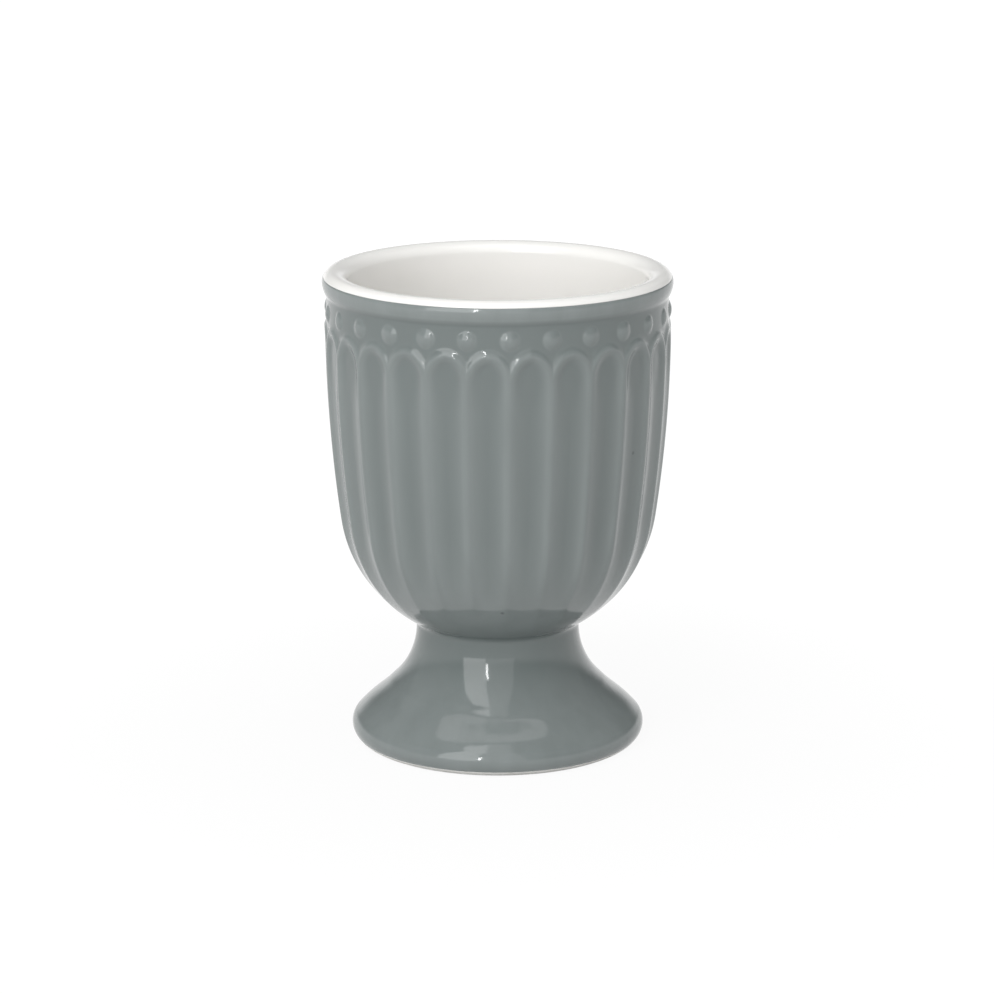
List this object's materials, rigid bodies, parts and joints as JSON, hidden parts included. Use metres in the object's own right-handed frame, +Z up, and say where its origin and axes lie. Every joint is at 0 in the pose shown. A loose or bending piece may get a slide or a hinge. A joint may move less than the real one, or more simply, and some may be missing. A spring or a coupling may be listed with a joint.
{
  "type": "egg cup",
  "caption": "Footed ceramic egg cup: a fluted bowl with a row of beads under its rolled lip, grey outside and white inside, on a flared hollow foot.",
  "frame": {"origin": "on the cup's axis, in the plane of the table that its foot stands on", "axes": "+Z up along the cup's axis, -Y towards the front that the picture shows"},
  "size_m": [0.047, 0.047, 0.065],
  "materials": {
    "clay": "fired stoneware, bare on the standing ring",
    "slip": "fired slip, unglazed",
    "white_glaze": "glossy white glaze",
    "grey_glaze": "glossy translucent grey-green glaze"
  },
  "bodies": {
    "root": {"bowl": "clay", "foot": "clay", "joint_slip": "slip", "lining_glaze": "white_glaze", "outer_glaze": "grey_glaze", "underside_glaze": "grey_glaze"}
  },
  "joints": []
}
